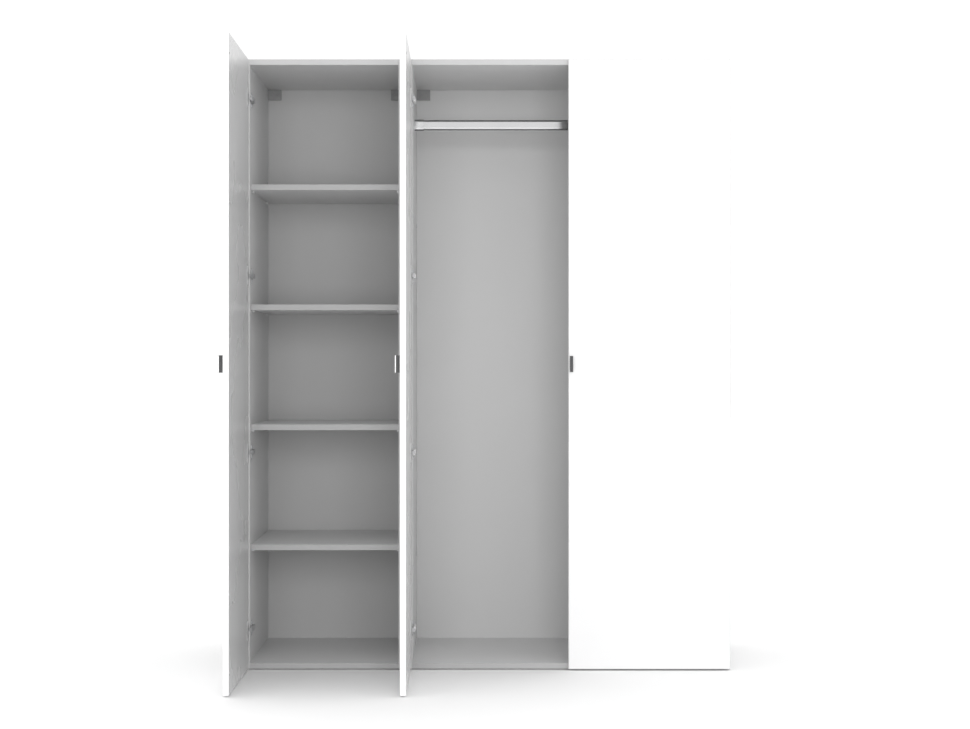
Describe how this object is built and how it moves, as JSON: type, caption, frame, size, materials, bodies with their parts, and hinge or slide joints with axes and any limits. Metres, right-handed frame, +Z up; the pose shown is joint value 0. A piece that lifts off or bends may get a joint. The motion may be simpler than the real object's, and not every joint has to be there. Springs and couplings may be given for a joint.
{
  "type": "wardrobe",
  "caption": "Flat white hinged-door wardrobe: a narrow shelved frame beside a wide frame with a hanging rail, slab doors on concealed cup hinges, small dark edge pulls.",
  "frame": {"origin": "on the floor, at the middle of the carcass footprint (closed carcass, doors left out)", "axes": "+Z up, -Y is the front that the doors close, +Y towards the wall, +X to the right seen from the front"},
  "size_m": [1.5656, 1.1167, 1.944],
  "materials": {
    "white_panel": "white melamine facing, satin",
    "white_back": "white printed fibreboard, matt",
    "white_door": "white door facing, satin",
    "nickel_steel": "nickel-plated pressed steel",
    "zinc_screw": "zinc-plated steel",
    "dark_handle": "dark grey metal, satin",
    "grey_plastic": "mid grey moulded plastic",
    "rail_metal": "drawn and satin anodised",
    "bracket_metal": "silver-grey die casting",
    "clear_bumper": "milky soft plastic",
    "glide_plastic": "white moulded plastic",
    "beech": "raw fluted beech"
  },
  "bodies": {
    "carcass": {"left_frame_left_side": "white_panel", "left_frame_right_side": "white_panel", "right_frame_left_side": "white_panel", "right_frame_right_side": "white_panel", "left_frame_top": "white_panel", "left_frame_bottom": "white_panel", "right_frame_top": "white_panel", "right_frame_bottom": "white_panel", "left_frame_back": "white_back", "right_frame_back": "white_back", "shelf_1": "white_panel", "shelf_2": "white_panel", "shelf_3": "white_panel", "shelf_4": "white_panel", "shelf_supports": "nickel_steel", "hanging_rail": "rail_metal", "rail_bracket_left": "bracket_metal", "rail_bracket_right": "bracket_metal", "rail_screws": "zinc_screw", "wall_hanger_1": "grey_plastic", "wall_hanger_2": "grey_plastic", "wall_hanger_3": "grey_plastic", "wall_hanger_4": "grey_plastic", "wall_hanger_hooks": "zinc_screw", "wall_hanger_screws": "zinc_screw", "dowels": "beech", "cam_bolts": "zinc_screw", "cam_locks": "zinc_screw", "frame_connector_sleeves": "zinc_screw", "frame_connector_screws": "zinc_screw", "glides": "glide_plastic", "left_hinge_plates": "nickel_steel", "middle_hinge_plates": "nickel_steel", "right_hinge_plates": "nickel_steel", "left_hinge_arms": "nickel_steel", "middle_hinge_arms": "nickel_steel", "right_hinge_arms": "nickel_steel", "hinge_arm_pins": "nickel_steel", "hinge_plate_screws": "zinc_screw", "hinge_adjusting_screws": "zinc_screw"},
    "left_door": {"left_door": "white_door", "left_handle": "dark_handle", "left_door_screws": "zinc_screw", "left_door_bumpers": "clear_bumper", "left_hinge_cups": "nickel_steel"},
    "middle_door": {"middle_door": "white_door", "middle_handle": "dark_handle", "middle_door_screws": "zinc_screw", "middle_door_bumpers": "clear_bumper", "middle_hinge_cups": "nickel_steel"},
    "right_door": {"right_door": "white_door", "right_handle": "dark_handle", "right_door_screws": "zinc_screw", "right_door_bumpers": "clear_bumper", "right_hinge_cups": "nickel_steel"},
    "left_links": {"left_hinge_links": "nickel_steel"},
    "middle_links": {"middle_hinge_links": "nickel_steel"},
    "right_links": {"right_hinge_links": "nickel_steel"}
  },
  "joints": [
    {"name": "left_door_swing", "type": "hinge", "parent": "carcass", "child": "left_door", "pos_m": [-0.7699, -0.3108, 0.9735], "axis": [0, 0, -1], "range_deg": [-90, 15]},
    {"name": "left_link_swing", "type": "hinge", "parent": "carcass", "child": "left_links", "pos_m": [-0.7475, -0.3, 0.9735], "axis": [0, 0, 1], "range_deg": [-36, 7]},
    {"name": "middle_door_swing", "type": "hinge", "parent": "carcass", "child": "middle_door", "pos_m": [-0.2529, -0.3108, 0.9735], "axis": [0, 0, -1], "range_deg": [-90, 15]},
    {"name": "middle_link_swing", "type": "hinge", "parent": "carcass", "child": "middle_links", "pos_m": [-0.2305, -0.3, 0.9735], "axis": [0, 0, 1], "range_deg": [-36, 7]},
    {"name": "right_door_swing", "type": "hinge", "parent": "carcass", "child": "right_door", "pos_m": [0.7699, -0.3108, 0.9735], "axis": [0, 0, 1], "range_deg": [0, 105]},
    {"name": "right_link_swing", "type": "hinge", "parent": "carcass", "child": "right_links", "pos_m": [0.7475, -0.3, 0.9735], "axis": [0, 0, -1], "range_deg": [-1, 42]}
  ],
  "couplings": [
    {"joint": "left_link_swing", "follows": "left_door_swing", "ratio": 0.39},
    {"joint": "middle_link_swing", "follows": "middle_door_swing", "ratio": 0.39},
    {"joint": "right_link_swing", "follows": "right_door_swing", "ratio": 0.39}
  ]
}
